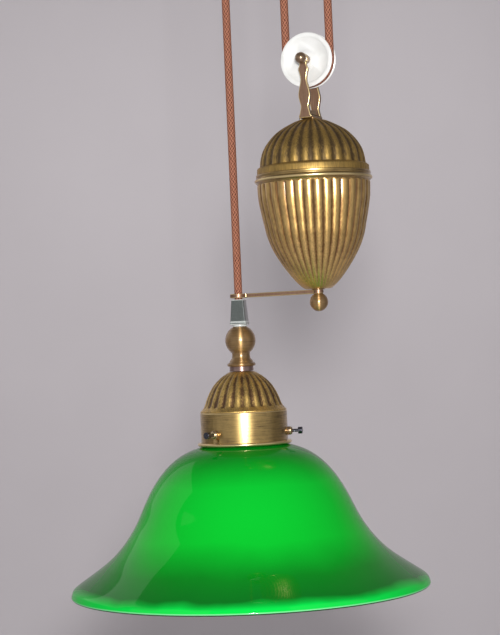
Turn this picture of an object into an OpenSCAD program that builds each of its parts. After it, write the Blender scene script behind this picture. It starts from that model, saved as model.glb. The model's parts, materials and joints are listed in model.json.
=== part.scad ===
// A rise and fall pendant. A ribbed brass counterweight hangs in the bight of the supply cord
// and balances a glass shade, so the lamp stays at whatever height it is pulled to.
// Millimetres. The origin is the centre of the ceiling plate's upper face and +Z is up.
// The cords, the pulleys and the spacer arm lie in the XZ plane, and the axles run along Y.

/* [Cord] */
// Diameter of the textile cord
cord_d = 7.8; // [6:0.1:8]

/* [Heights] */
// Depth of the ceiling pulley's axle below the ceiling
ceiling_drop = 100; // [98:1:110]
// Depth of the counterweight pulley's axle below the ceiling, with the lamp fully up
weight_drop = 400; // [395:5:450]

/* [Pulleys] */
// Radius of the cord's centreline on the ceiling pulley
ceiling_cord_r = 30.75; // [30:0.25:31.5]
// Radius of the cord's centreline on the counterweight pulley
weight_cord_r = 22.5; // [22:0.25:23]
// How far a flange stands out past the cord's centreline
flange_rise = 4; // [3:0.5:4.5]
// Thickness of each porcelain pulley
pulley_w = 12; // [12:0.5:14]
// Diameter of the pulley axles
axle_d = 5; // [4:0.5:6]
// Diameter of the ball nuts on the axles
axle_ball_d = 11; // [9:0.5:12]

/* [Forks] */
// Clear distance between the two straps of a fork
fork_gap = 23; // [22:0.5:26]
// Thickness of a strap
strap_t = 4; // [3:0.5:5]
// Distance from the counterweight's axle to the underside of its fork
weight_fork_reach = 57; // [52:1:60]

/* [Canopy] */
// Radius of the canopy at the ceiling
canopy_r = 75; // [74:1:80]
// Depth of the canopy
canopy_h = 38; // [36:1:40]

/* [Brass shells] */
// Thickness of the spun and pressed brass
shell_t = 1.3; // [1:0.1:1.6]
// Number of ribs round the counterweight's lid
lid_ribs = 28; // [24:2:32]
// Number of ribs round the counterweight's bowl
bowl_ribs = 36; // [32:2:44]
// Number of ribs round the lamp's dome
dome_ribs = 24; // [20:2:28]
// Depth of the grooves between ribs
rib_depth = 1.5; // [0.8:0.1:2]

/* [Counterweight] */
// Height to which the bowl is filled with iron
filling_h = 92.5; // [50:0.5:96]
// Diameter of the ball nut under the bowl
foot_ball_d = 18; // [16:1:20]
// Inner diameter of the eye that the lamp's cord runs through
eye_d = 11; // [10:0.5:12]

/* [Lamp] */
// Diameter of the turned ball under the cord grip
ball_d = 30; // [28:1:32]
// Radius of the gallery's band
gallery_r = 42.5; // [42:0.5:44]
// Inner radius of the lampholder's screw shell
socket_r = 13.25; // [13.2:0.05:13.5]
// Thickness of the glass
glass_t = 4; // [3:0.5:5]

/* [Hidden] */
$fn = 96;

// Clearance round a fixed part, and round a turning or sliding part.
snug = 0.05;
running = 0.05;
eps = 0.01;

// The arm reaches from the counterweight's axis to the lamp's. The three falls of cord pull
// alike, so the canopy's centre lies a third of the way along it, where the pulls balance.
arm_reach = weight_cord_r + 2 * ceiling_cord_r;
weight_x = arm_reach / 3;
lamp_x = weight_x - arm_reach;
middle_x = weight_x - weight_cord_r;
supply_x = weight_x + weight_cord_r;
pulley_x = middle_x - ceiling_cord_r;
ceiling_z = -ceiling_drop;
weight_z = -weight_drop;
cord_r = cord_d / 2;
axle_r = axle_d / 2;

// Ceiling fitting.
plate_size = [116, 24, 3];
slot_spacing = 96;
slot_length = 12;
slot_r = 2.6;
floor_r = canopy_r - 14.5;
canopy_z = -canopy_h;
fork_plate_t = 3;
stud_r = 3;
bolt_x = 20;
bolt_r = 2;
tube_r = 5;
tube_bore_r = 4;
nut_t = 3;
tube_nut_w = 14;
rod_nut_w = 10;
rod_nut_t = 5;
fork_plate_w = 12.6;
fork_eye_r = 5;
spacer_r = 4.5;
core_r = 0.95;
core_ring_r = 1.9;
block_size = [28, 17, 14];
poles = [-9, 0, 9];
pole_z = -10;
clamp_r = 1.6;

// Heights of the counterweight's pieces, from its axle down.
lid_z = weight_z - weight_fork_reach;
ring_z = lid_z - 52.3;
bowl_z = ring_z - 9.5;
bowl_foot_z = bowl_z - 101.7;
washer_t = 0.5;
arm_z = bowl_foot_z - washer_t;
arm_h = 4;
rod_r = 3;

// Heights of the lamp's pieces, from the spacer arm down.
grip_gap = 1.5;
grip_h = 26.5;
grip_base_h = 1.8;
grip_plinth_h = 2.6;
grip_foot_w = 16.4;
grip_step = 0.7;
grip_mouth_w = 12.3;
grip_collar_r = 7.3;
grip_spigot_r = 6;
grip_turn = 10;
grip_bore_h = 9.6;
grip_z = arm_z - arm_h - grip_gap - grip_h;
cord_end_z = grip_z + grip_bore_h + 1.5;
ball_cut = 13.5;
ball_z = grip_z - ball_cut;
ball_foot = 25.5;
dome_z = ball_z - ball_foot - 4.7;
dome_h = 38.9;
gallery_z = dome_z - dome_h;
gallery_h = 32.8;
glass_z = gallery_z - gallery_h;
screw_z = glass_z + 12;
holder_z = gallery_z - 5.3;
sleeve_z = holder_z - 11;
insert_z = sleeve_z - 11;
contact_z = insert_z - 3;
thread_depth = 22;
mouth_z = contact_z - thread_depth;

// Shade and the screws that hold it.
neck_r = 37.6;
lip_r = 40;
screw_r = 1.5;
screw_head_r = 3.3;
screw_tip = neck_r + 0.4;
screw_head_in = 53.3;
screw_end = 57.4;
boss_r = 4.1;
boss_out = gallery_r + 5.2;
boss_chamfer = 1.6;
screw_angles = [13.5, 133.5, 253.5];

// Half width of a fork's strap at a distance from its axle, for a fork of this reach.
strap_reach = 55;
strap_knots = [[3.4, 3.6], [6, 3.6], [9.8, 4.9], [14, 3.8], [18.5, 3.1], [22, 3.4], [27, 4.8],
    [33.5, 6], [39, 5.2], [44, 4], [48.5, 4.8], [strap_reach, 6.4]];

// Outer faces as [radius, height]: the lid from its top, the bowl from its mouth, the lamp's dome
// from its top and the shade from the gallery's lower edge.
lid_knots = [[9, 0], [16, -2.2], [25.5, -6.8], [34.6, -12.6], [42.8, -21.3], [48, -30],
    [50.3, -38], [51.2, -44.5]];
bowl_knots = [[54.5, -1.2], [54.4, -5], [53.8, -15.2], [51.9, -26.7], [49.5, -38.3], [47, -49.8],
    [42.8, -61.3], [36.5, -72.9], [28.8, -84.4], [22, -93], [16.3, -98.8], [13, -101.2]];
dome_knots = [[12.5, -0.5], [19.7, -4.9], [26.4, -10.8], [31.3, -17.4], [34.8, -24.3], [37.2, -30.7],
    [38.4, -33.6]];
shade_knots = [[lip_r, 0], [47.5, -1.6], [60.8, -6.8], [70.6, -12.9], [82.3, -25.2], [91.1, -37.3],
    [97.5, -48.7], [105.4, -65.8], [110.7, -77.3], [118.6, -88.9], [127.5, -100], [140, -111.4],
    [158.8, -124.2], [172, -133], [175, -139.4]];

// ---- curves ----

// A point on the smooth curve through the knots p, a share t of the way past knot i.
function between(p, i, t) =
    let (a = p[max(i - 1, 0)], b = p[i], c = p[i + 1], d = p[min(i + 2, len(p) - 1)])
    0.5 * (2 * b + (c - a) * t + (2 * a - 5 * b + 4 * c - d) * t * t
        + (3 * b - a - 3 * c + d) * t * t * t);

function smooth(p, steps) = concat(
    [for (i = [0 : len(p) - 2]) for (k = [0 : steps - 1]) between(p, i, k / steps)],
    [p[len(p) - 1]]);

function unit(v) = v / norm(v);

// A curve beside p, at distance d to the left of its direction of travel.
function beside(p, d) = [for (i = [0 : len(p) - 1])
    let (t = unit(p[min(i + 1, len(p) - 1)] - p[max(i - 1, 0)]))
    p[i] + d * [-t[1], t[0]]];

function reversed(p) = [for (i = [len(p) - 1 : -1 : 0]) p[i]];

function arc(centre, r, from, to, steps) = [for (k = [0 : steps])
    let (a = from + (to - from) * k / steps) centre + r * [cos(a), sin(a)]];

module turned(profile) { rotate_extrude() polygon(profile); }

// ---- ribbed brass ----

// A shell whose wall section is the closed loop of [radius, height, groove depth]. Each rib is
// round in section and meets the next one in a sharp groove.
module ribbed(loop, ribs, turn = 0) {
    per_rib = 4;
    around = ribs * per_rib;
    rings = len(loop);
    points = [for (s = loop) for (j = [0 : around - 1])
        let (a = 360 * j / around + turn, r = s[0] - s[2] * (1 - sin(180 * (j % per_rib) / per_rib)))
        [r * cos(a), r * sin(a), s[1]]];
    function at(i, j) = (i % rings) * around + j % around;
    polyhedron(points, [for (i = [0 : rings - 1]) for (j = [0 : around - 1]) for (half = [0, 1])
        half == 0 ? [at(i, j), at(i, j + 1), at(i + 1, j + 1)]
                  : [at(i, j), at(i + 1, j + 1), at(i + 1, j)]], convexity = 4);
}

// ---- shared hardware ----

module cord_between(x, top, bottom) {
    translate([x, 0, bottom]) cylinder(r = cord_r, h = top - bottom);
}

// Half a turn of cord on a pulley, over its top (side 1) or under its foot (side -1).
module cord_half_turn(r, side) {
    rotate([90, 0, 0]) rotate([0, 0, side > 0 ? 0 : 180])
        rotate_extrude(angle = 180) translate([r, 0]) circle(r = cord_r, $fn = 48);
}

module tube(r_out, r_in, top, bottom) {
    translate([0, 0, bottom]) difference() {
        cylinder(r = r_out, h = top - bottom);
        translate([0, 0, -1]) cylinder(r = r_in, h = top - bottom + 2);
    }
}

// A slot with round ends, centred on the Z axis and running along X.
module slot(length, r, h) {
    for (end = [-1, 1]) translate([end * (length / 2 - r), 0, 0]) cylinder(r = r, h = h);
    translate([r - length / 2, -r, 0]) cube([length - 2 * r, 2 * r, h]);
}

module hex_nut(across, h, bore) {
    difference() {
        cylinder(d = across / cos(30), h = h, $fn = 6);
        translate([0, 0, -1]) cylinder(r = bore, h = h + 2);
    }
}

// A screw with a countersunk head in the ceiling plate, down to the height z.
module countersunk_screw(r, z) {
    translate([0, 0, z]) cylinder(r = r, h = -z - 0.2);
    translate([0, 0, -r - 0.2]) cylinder(r1 = r, r2 = 2 * r, h = r);
}

// A ball with a flat seat at height 0, and a blind hole up from it.
module ball_nut(d, bore, depth) {
    seat = sqrt(d * d / 4 - (bore + 1) * (bore + 1));
    difference() {
        translate([0, 0, seat]) sphere(d = d);
        translate([-d, -d, -d]) cube([2 * d, 2 * d, d]);
        translate([0, 0, -1]) cylinder(r = bore, h = depth + 1);
    }
}

// Children stand outward from both sides of a pulley, at distance y from its middle.
module both_sides(y) {
    for (turn = [0, 180]) rotate([90, 0, turn]) translate([0, 0, y]) children();
}

// A strap from the axle at the origin down to its foot, with a baluster outline.
module strap(reach) {
    side = [for (p = smooth(strap_knots, 4)) [p[1], -p[0] * reach / strap_reach]];
    rotate([90, 0, 0]) linear_extrude(strap_t, center = true) difference() {
        union() {
            circle(r = fork_eye_r);
            polygon(concat(side, reversed([for (p = side) [-p[0], p[1]]])));
        }
        circle(r = axle_r + snug);
    }
}

// Two straps and the plate that joins their feet, with a hole for the screw through it.
module fork(reach) {
    half_w = fork_gap / 2 + strap_t;
    difference() {
        union() {
            for (side = [-1, 1]) translate([0, side * (fork_gap + strap_t) / 2, 0]) strap(reach);
            translate([-fork_plate_w / 2, -half_w, -reach])
                cube([fork_plate_w, 2 * half_w, fork_plate_t]);
        }
        translate([0, 0, -reach - 1]) cylinder(r = stud_r + snug, h = fork_plate_t + 2);
    }
}

module axle() {
    ends = 5.4;
    rotate([90, 0, 0]) cylinder(r = axle_r, h = fork_gap + 2 * strap_t + 2 * ends, center = true);
}

module axle_nuts() {
    both_sides(fork_gap / 2 + strap_t) ball_nut(axle_ball_d, axle_r + snug, 5.5);
}

module spacers() {
    length = (fork_gap - pulley_w) / 2 - 0.25;
    both_sides(fork_gap / 2 - length) tube(spacer_r, axle_r + snug, length, 0);
}

// A grooved porcelain pulley on the Y axis, with a dished web on each face.
module pulley(groove_r) {
    flange_r = groove_r + flange_rise;
    half_w = pulley_w / 2;
    groove = cord_r + 0.25;
    web = 1.2;
    hub_r = 8.5;
    rim_r = flange_r - 4;
    lip = 0.9;
    side = concat(
        [[3.5, half_w], [hub_r, half_w], [hub_r + web, half_w - web], [rim_r - web, half_w - web],
            [rim_r, half_w]],
        arc([flange_r - lip, half_w - lip], lip, 90, 0, 4),
        [[flange_r - 0.2, groove + 0.8], [flange_r - 0.9, groove + 0.3]]);
    rotate([90, 0, 0]) turned(concat(side, arc([groove_r, 0], groove, 90, 270, 16),
        reversed([for (p = side) [p[0], -p[1]]])));
}

module pulley_bush() {
    rotate([90, 0, 0]) difference() {
        cylinder(r = 3.5 - snug, h = pulley_w + 0.1, center = true);
        cylinder(r = axle_r + running, h = pulley_w + 2, center = true);
    }
}

module rounded_square(w, r, h) {
    hull() for (x = [-1, 1]) for (y = [-1, 1])
        translate([x * (w / 2 - r), y * (w / 2 - r), 0]) cylinder(r = r, h = h, $fn = 32);
}

// The tapered body of a cord grip on its plinth, mouth up, which clamps the cord in its base.
module grip_body() {
    difference() {
        rotate([0, 0, grip_turn]) {
            translate([0, 0, grip_base_h]) rounded_square(grip_foot_w, 1.2, grip_plinth_h);
            hull() {
                translate([0, 0, grip_base_h + 1]) rounded_square(grip_foot_w - grip_step, 1.2, eps);
                translate([0, 0, grip_h - eps]) rounded_square(grip_mouth_w, 1.2, eps);
            }
        }
        cylinder(r = cord_r + 0.25, h = grip_h + 1);
        cylinder(r = grip_spigot_r + snug, h = grip_bore_h + 1);
    }
}

// The base of a cord grip: a collar and a spigot, bored for the threaded tube.
module grip_base() {
    difference() {
        union() {
            cylinder(r = grip_collar_r, h = grip_base_h);
            cylinder(r = grip_spigot_r, h = grip_bore_h + 1);
        }
        translate([0, 0, -1]) cylinder(r = tube_r + snug, h = grip_bore_h + 1);
        cylinder(r = cord_r + 0.25, h = grip_h);
    }
}

// ---- ceiling fitting ----

module ceiling_plate() color("silver") {
    thick = plate_size[2];
    difference() {
        translate([-plate_size[0] / 2, -plate_size[1] / 2, -thick]) cube(plate_size);
        for (end = [-1, 1]) translate([end * slot_spacing / 2, 0, -thick - 1])
            slot(slot_length, slot_r, thick + 2);
        for (hole = [[pulley_x, stud_r], [bolt_x, bolt_r]]) translate([hole[0], 0, 0]) {
            translate([0, 0, -thick - 1]) cylinder(r = hole[1] + snug, h = thick + 2);
            translate([0, 0, -hole[1] - 0.2])
                cylinder(r1 = hole[1] + snug, r2 = 2 * hole[1] + snug + 0.2, h = hole[1] + 0.2 + eps);
        }
    }
}

// A rolled rim, a cove and a deep curved side down to a flat floor.
module canopy() color("darkgoldenrod") {
    bead = 4;
    side_r = canopy_r - bead;
    side_top = -12;
    outer = [for (a = [0 : 10 : 90])
        [floor_r + (side_r - floor_r) * cos(a), side_top + (canopy_z - side_top) * sin(a)]];
    inner = [for (a = [90 : -10 : 0])
        [floor_r + (side_r - shell_t - floor_r) * cos(a),
            side_top + (canopy_z + shell_t - side_top) * sin(a)]];
    difference() {
        turned(concat([[side_r - shell_t, 0]], arc([side_r, -bead], bead, 90, -90, 12), outer,
            [[0, canopy_z], [0, canopy_z + shell_t]], inner));
        for (hole = [[pulley_x, stud_r], [bolt_x, bolt_r], [supply_x, tube_r]])
            translate([hole[0], 0, canopy_z - 1]) cylinder(r = hole[1] + snug, h = shell_t + 2);
    }
}

module canopy_bolt() color("silver") translate([bolt_x, 0, 0]) countersunk_screw(bolt_r, canopy_z - 5);
module canopy_ball_nut() color("goldenrod")
    translate([bolt_x, 0, canopy_z]) rotate([180, 0, 0]) ball_nut(9, bolt_r + snug, 5.5);

module ceiling_fork() color("peru") translate([pulley_x, 0, ceiling_z]) rotate([180, 0, 0])
    fork(ceiling_drop - canopy_h);
module ceiling_fork_stud() color("silver") translate([pulley_x, 0, 0])
    countersunk_screw(stud_r, canopy_z - fork_plate_t - rod_nut_t - 0.5);
module ceiling_fork_nut() color("silver") translate([pulley_x, 0, canopy_z - fork_plate_t - rod_nut_t])
    hex_nut(rod_nut_w, rod_nut_t, stud_r + snug);
module ceiling_axle() color("darkgoldenrod") translate([pulley_x, 0, ceiling_z]) axle();
module ceiling_axle_nuts() color("darkgoldenrod") translate([pulley_x, 0, ceiling_z]) axle_nuts();
module ceiling_spacers() color("goldenrod") translate([pulley_x, 0, ceiling_z]) spacers();
module ceiling_pulley() color("white") translate([pulley_x, 0, ceiling_z]) pulley(ceiling_cord_r);
module ceiling_pulley_bush() color("goldenrod") translate([pulley_x, 0, ceiling_z]) pulley_bush();

module ceiling_nipple() color("goldenrod") translate([supply_x, 0, 0])
    tube(tube_r, tube_bore_r, canopy_z + 7, canopy_z - grip_bore_h + 0.5);
module ceiling_nipple_nut() color("silver") translate([supply_x, 0, canopy_z + shell_t])
    hex_nut(tube_nut_w, nut_t, tube_r + snug);
module ceiling_cord_grip() color([0.22, 0.26, 0.26])
    translate([supply_x, 0, canopy_z]) rotate([180, 0, 0]) grip_body();
module ceiling_grip_base() color([0.22, 0.26, 0.26])
    translate([supply_x, 0, canopy_z]) rotate([180, 0, 0]) grip_base();

// Three poles that open to front and back, each with two clamping screws from below.
module terminal_block() color("white") {
    difference() {
        translate([-block_size[0] / 2, -block_size[1] / 2, -plate_size[2] - block_size[2]])
            cube(block_size);
        for (x = poles) {
            translate([x, 0, pole_z]) rotate([90, 0, 0])
                cylinder(r = 2, h = block_size[1] + 2, center = true);
            for (y = [-4, 4]) translate([x, y, pole_z - 12]) cylinder(r = clamp_r, h = 12);
        }
    }
}

module terminal_screws() color("goldenrod")
    for (x = poles) for (y = [-4, 4]) translate([x, y, -plate_size[2] - block_size[2] + 0.8])
        cylinder(r = clamp_r - snug, h = 4);

// A round wire through the points of a path, with a ball at each bend.
module wire(path, r) {
    last = len(path) - 1;
    for (i = [0 : last - 1]) let (v = path[i + 1] - path[i]) translate(path[i]) {
        rotate([0, acos(v[2] / norm(v)), atan2(v[1], v[0])]) cylinder(r = r, h = norm(v), $fn = 24);
        if (i > 0) sphere(r = r + snug, $fn = 24);
    }
}

// Each core leaves the end of the cord, rises through the nipple and bends round to its own pole.
supply_turns = [[150, [41, 14.5, -21], [-2, 23, -12]], [30, [42, 9, -20], [7, 17, -12]],
    [270, [40, 3.5, -19], [14, 12, -12]]];

module supply_wires() color("firebrick") {
    block_back = block_size[1] / 2;
    for (i = [0 : 2]) {
        turn = supply_turns[i];
        start = [supply_x + core_ring_r * cos(turn[0]), core_ring_r * sin(turn[0]), 0];
        pole = [poles[i], block_back, pole_z];
        wire([start + [0, 0, canopy_z - grip_bore_h - 1.5], start + [0, 0, canopy_z + 9],
            turn[1], turn[2], pole + [0, 2, 0], pole + [0, -3.5, 0]], core_r);
    }
}

module cord_over_ceiling_pulley() color("indianred")
    translate([pulley_x, 0, ceiling_z]) cord_half_turn(ceiling_cord_r, 1);

// ---- counterweight ----

module counterweight_fork() color("peru") translate([weight_x, 0, weight_z]) fork(weight_fork_reach);
module counterweight_axle() color("darkgoldenrod") translate([weight_x, 0, weight_z]) axle();
module counterweight_axle_nuts() color("darkgoldenrod") translate([weight_x, 0, weight_z]) axle_nuts();
module counterweight_spacers() color("goldenrod") translate([weight_x, 0, weight_z]) spacers();
module counterweight_pulley() color("white") translate([weight_x, 0, weight_z]) pulley(weight_cord_r);
module counterweight_pulley_bush() color("goldenrod")
    translate([weight_x, 0, weight_z]) pulley_bush();

// A ribbed dome that ends in a plain band.
module counterweight_lid() color([0.42, 0.35, 0.16]) translate([weight_x, 0, 0]) {
    hole = rod_r + snug;
    inset = rib_depth + shell_t;
    dome = smooth(lid_knots, 2);
    lining = beside([for (i = [0 : 2 : len(dome) - 1]) dome[i]], -inset);
    ribbed(concat([[hole, lid_z, 0]],
        [for (p = dome) [p[0], lid_z + p[1], rib_depth * min(1, (p[0] - 9) / 10)]],
        [[52.6, lid_z - 45.5, 0], [53.8, lid_z - 47, 0], [54.2, ring_z, 0], [50.4, ring_z, 0]],
        [for (p = reversed(lining)) [p[0] > 12 ? p[0] : 9, lid_z + min(p[1], -shell_t), 0]],
        [[hole, lid_z - shell_t, 0]]), lid_ribs, 180 / lid_ribs);
}

// The moulded ring soldered round the bowl's mouth, on which the lid sits.
module counterweight_ring() color([0.72, 0.56, 0.24]) translate([weight_x, 0, 0])
    turned(concat([[49, ring_z], [54.6, ring_z], [55.3, ring_z - 0.6], [55.3, ring_z - 2.6],
        [54.9, ring_z - 3.1]], arc([54.7, ring_z - 6], 2.1, 75, -75, 10),
        [[54.6, bowl_z + 0.8], [54.2, bowl_z], [49, bowl_z]]));

// A ribbed egg with a flat foot.
module counterweight_bowl() color([0.72, 0.56, 0.24]) translate([weight_x, 0, 0]) {
    hole = rod_r + snug;
    inset = rib_depth + shell_t;
    lining = beside([for (i = [0 : 2 : len(bowl_knots) - 1]) bowl_knots[i]], -inset);
    floor_z = bowl_foot_z + shell_t;
    ribbed(concat([[bowl_knots[0][0] - 0.6, bowl_z, 0]],
        [for (p = bowl_knots) [p[0], bowl_z + p[1], rib_depth * min(1, (p[0] - 10) / 30)]],
        [[11, bowl_foot_z, 0], [hole, bowl_foot_z, 0], [hole, floor_z, 0], [11, floor_z, 0]],
        [for (p = reversed(lining)) [p[0], bowl_z + max(p[1], floor_z - bowl_z + 0.2), 0]],
        [[bowl_knots[0][0] - inset, bowl_z, 0]]), bowl_ribs);
}

// Cast iron on the bowl's floor, clear of its wall and of the rod.
module iron_filling() color("dimgray") translate([weight_x, 0, 0]) {
    floor_z = bowl_foot_z + shell_t;
    top = floor_z + filling_h;
    wall = [for (p = reversed(beside(smooth(bowl_knots, 3), -rib_depth - shell_t - 1.2)))
        if (bowl_z + p[1] > floor_z + 1 && bowl_z + p[1] < top) [p[0], bowl_z + p[1]]];
    turned(concat([[rod_r + 0.3, floor_z], [9, floor_z]], wall,
        [[wall[len(wall) - 1][0], top], [rod_r + 0.3, top]]));
}

module tie_rod() color("silver") translate([weight_x, 0, 0]) {
    foot = arm_z - arm_h - foot_ball_d / 2 - 1.5;
    translate([0, 0, foot]) cylinder(r = rod_r, h = lid_z + fork_plate_t + rod_nut_t + 0.5 - foot);
}

// The nut inside the fork's foot that the whole counterweight hangs from.
module tie_rod_nut() color("silver") translate([weight_x, 0, lid_z + fork_plate_t])
    hex_nut(rod_nut_w, rod_nut_t, rod_r + snug);
module arm_washer() color("goldenrod") translate([weight_x, 0, 0])
    tube(6.5, rod_r + snug, bowl_foot_z, arm_z);

// A flat bar on edge, with a pierced disc under the bowl and a ring round the lamp's cord.
module spacer_arm() color("peru") {
    bar_w = 3;
    bar_foot = arm_z - arm_h;
    eye_wall = 2.8;
    disc_r = 4.8;
    difference() {
        union() {
            translate([weight_x, 0, bar_foot]) cylinder(r = disc_r, h = arm_h);
            translate([lamp_x, -bar_w / 2, bar_foot]) cube([arm_reach, bar_w, arm_h]);
            translate([lamp_x, 0, bar_foot]) cylinder(r = eye_d / 2 + eye_wall, h = arm_h);
        }
        translate([weight_x, 0, bar_foot - 1]) cylinder(r = rod_r + snug, h = arm_h + 2);
        translate([lamp_x, 0, bar_foot - 1]) cylinder(r = eye_d / 2, h = arm_h + 2);
    }
}

module foot_ball_nut() color("darkgoldenrod")
    translate([weight_x, 0, arm_z - arm_h]) rotate([180, 0, 0])
        ball_nut(foot_ball_d, rod_r + snug, foot_ball_d / 2 + 2);

module cord_under_counterweight_pulley() color("indianred")
    translate([weight_x, 0, weight_z]) cord_half_turn(weight_cord_r, -1);
module cord_middle_run() color("indianred") cord_between(middle_x, ceiling_z, weight_z);
module cord_supply_run() color("indianred")
    cord_between(supply_x, canopy_z - grip_bore_h - 1.5, weight_z);

// ---- lamp ----

module cord_lamp_run() color("indianred") cord_between(lamp_x, ceiling_z, cord_end_z);
module lamp_cord_grip() color([0.22, 0.26, 0.26]) translate([lamp_x, 0, grip_z]) grip_body();
module lamp_grip_base() color([0.22, 0.26, 0.26]) translate([lamp_x, 0, grip_z]) grip_base();

module lamp_tube() color("goldenrod") translate([lamp_x, 0, 0])
    tube(tube_r, tube_bore_r, grip_z + grip_bore_h - 0.5, holder_z - 9);

// One turning: the ball, its waist and the bead below it.
module neck_ball() color([0.62, 0.47, 0.22]) translate([lamp_x, 0, ball_z]) {
    r = ball_d / 2;
    waist = smooth([[9.03, -11.98], [8.85, -14.7], [9.4, -17.6], [11.4, -20]], 4);
    difference() {
        turned(concat([[4, ball_cut]], arc([0, 0], r, asin(ball_cut / r), -52, 20), waist,
            [[11.4, -20.8], [12.4, -21.6]], arc([12.3, -23.7], 1.7, 80, -80, 10),
            [[12.4, -ball_foot], [4, -ball_foot]]));
        translate([0, 0, -ball_foot - 1]) cylinder(r = tube_r + snug, h = ball_foot + ball_cut + 2);
    }
}

module neck_collar() color([0.7, 0.52, 0.34]) translate([lamp_x, 0, 0])
    tube(11.8, tube_r + snug, ball_z - ball_foot, dome_z);

// A ribbed dome whose foot spreads in a cove to the gallery.
module lamp_dome() color([0.6, 0.48, 0.2]) translate([lamp_x, 0, 0]) {
    hole = tube_r + snug;
    dome = smooth(dome_knots, 2);
    lining = beside([for (i = [0 : 2 : len(dome) - 1]) dome[i]], -rib_depth - shell_t);
    ribbed(concat([[hole, dome_z, 0]],
        [for (p = dome) [p[0], dome_z + p[1], rib_depth * min(1, (p[0] - 12.5) / 10)]],
        [[39.4, dome_z - 35.3, 0], [40.8, dome_z - 37, 0], [42.1, dome_z - 38.2, 0],
            [42.1, gallery_z, 0], [37, gallery_z, 0]],
        [for (p = reversed(lining)) [p[0] > 14 ? p[0] : 10, dome_z + min(p[1], -shell_t), 0]],
        [[hole, dome_z - shell_t, 0]]), dome_ribs, 180 / dome_ribs);
}

// The spun cup that holds the shade: a plate under the dome, a plain band and a rolled foot.
module gallery() color([0.72, 0.58, 0.28]) translate([lamp_x, 0, 0]) {
    r = gallery_r;
    wall = 1.5;
    edge = 1.2;
    bead = 1.65;
    spread = 2;
    difference() {
        turned(concat([[tube_r + snug, gallery_z], [r - edge, gallery_z]],
            arc([r - edge, gallery_z - edge], edge, 90, 0, 4),
            [[r, glass_z + 2 * bead]], arc([r + spread, glass_z + bead], bead, 110, -90, 8),
            [[r - wall, glass_z], [r - wall, gallery_z - wall],
                [tube_r + snug, gallery_z - wall]]));
        for (a = screw_angles) rotate([0, 0, a]) translate([r - 5, 0, screw_z]) rotate([0, 90, 0])
            cylinder(r = screw_r + running, h = 8);
    }
}

module gallery_bosses() color([0.78, 0.62, 0.28]) translate([lamp_x, 0, 0])
    for (a = screw_angles) rotate([0, 0, a]) difference() {
        translate([0, 0, screw_z]) rotate([0, 90, 0])
            turned([[0, gallery_r - 1], [boss_r, gallery_r - 1], [boss_r, boss_out - boss_chamfer],
                [boss_r - boss_chamfer, boss_out], [0, boss_out]]);
        translate([0, 0, screw_z - 10]) cylinder(r = gallery_r, h = 20);
        translate([gallery_r - 3, 0, screw_z]) rotate([0, 90, 0])
            cylinder(r = screw_r + running, h = 12);
    }

module gallery_washer() color("silver") translate([lamp_x, 0, 0])
    tube(9, tube_r + snug, gallery_z - 1.5, gallery_z - 2.1);
module gallery_locknut() color("silver") translate([lamp_x, 0, gallery_z - 2.1 - nut_t])
    hex_nut(tube_nut_w, nut_t, tube_r + snug);

// ---- lampholder ----

module lampholder_cap() color("dimgray") translate([lamp_x, 0, 0])
    turned([[tube_r + snug, holder_z], [8, holder_z], [10, holder_z - 2], [17, holder_z - 5],
        [20, holder_z - 8], [20, sleeve_z], [18, sleeve_z], [18, holder_z - 8.6],
        [16, holder_z - 6.6], [9, holder_z - 3.8], [tube_r + snug, holder_z - 3.8]]);

// The outer sleeve, with a ledge inside that carries the insert.
module lampholder_sleeve() color("dimgray") translate([lamp_x, 0, 0])
    turned([[18, sleeve_z], [20, sleeve_z], [20, mouth_z - 3], [19, mouth_z - 4], [16, mouth_z - 4],
        [16, insert_z], [18, insert_z]]);

module lampholder_insert() color("whitesmoke") translate([lamp_x, 0, 0]) difference() {
    translate([0, 0, insert_z]) cylinder(r = 18 - snug, h = sleeve_z - 1 - insert_z);
    for (a = [0, 120, 240]) rotate([0, 0, a]) translate([core_ring_r, 0, insert_z + 6])
        cylinder(r = core_r + snug, h = 20);
}

module screw_shell() color("gold") translate([lamp_x, 0, 0])
    turned([[5, insert_z], [14, insert_z], [14, mouth_z], [socket_r, mouth_z],
        [socket_r, contact_z], [5, contact_z]]);

module centre_contact() color("gold") translate([lamp_x, 0, contact_z + 0.4])
    cylinder(r = 3, h = insert_z - contact_z - 0.4);

module lamp_wires() color("firebrick") translate([lamp_x, 0, 0])
    for (a = [0, 120, 240]) rotate([0, 0, a]) translate([core_ring_r, 0, insert_z + 6])
        cylinder(r = core_r, h = cord_end_z - insert_z - 6);

// ---- shade and its screws ----

// A white neck with a lip for the screws, and a bell that spreads to a rounded edge.
module glass_shade() color([0.05, 0.55, 0.15]) translate([lamp_x, 0, glass_z]) {
    outer = smooth(shade_knots, 4);
    inner = beside(outer, -glass_t);
    foot = shade_knots[len(shade_knots) - 1];
    lip_foot = screw_z + screw_r + snug - glass_z;
    wall = neck_r - glass_t;
    turned(concat(
        [[wall, 22], [wall + 0.8, 22.8], [lip_r - 1, 22.8], [lip_r, 22], [lip_r, lip_foot + 0.6],
            [lip_r - 0.6, lip_foot], [neck_r, lip_foot], [neck_r, 5.8], [lip_r, 3.2]],
        outer,
        arc(foot + [-glass_t / 2, -0.2], glass_t / 2, 0, -180, 8),
        [for (i = [len(inner) - 3 : -1 : 2]) inner[i]],
        [[wall, -3.4]]));
}

module thumb_screw(n) color("lightgray")
    translate([lamp_x, 0, screw_z]) rotate([0, 0, screw_angles[n]]) rotate([0, 90, 0]) {
        translate([0, 0, screw_tip]) cylinder(r = screw_r, h = screw_head_in - screw_tip + eps);
        translate([0, 0, screw_head_in]) cylinder(r = screw_head_r, h = screw_end - screw_head_in);
    }

module thumb_screw_1() thumb_screw(0);
module thumb_screw_2() thumb_screw(1);
module thumb_screw_3() thumb_screw(2);

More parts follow.
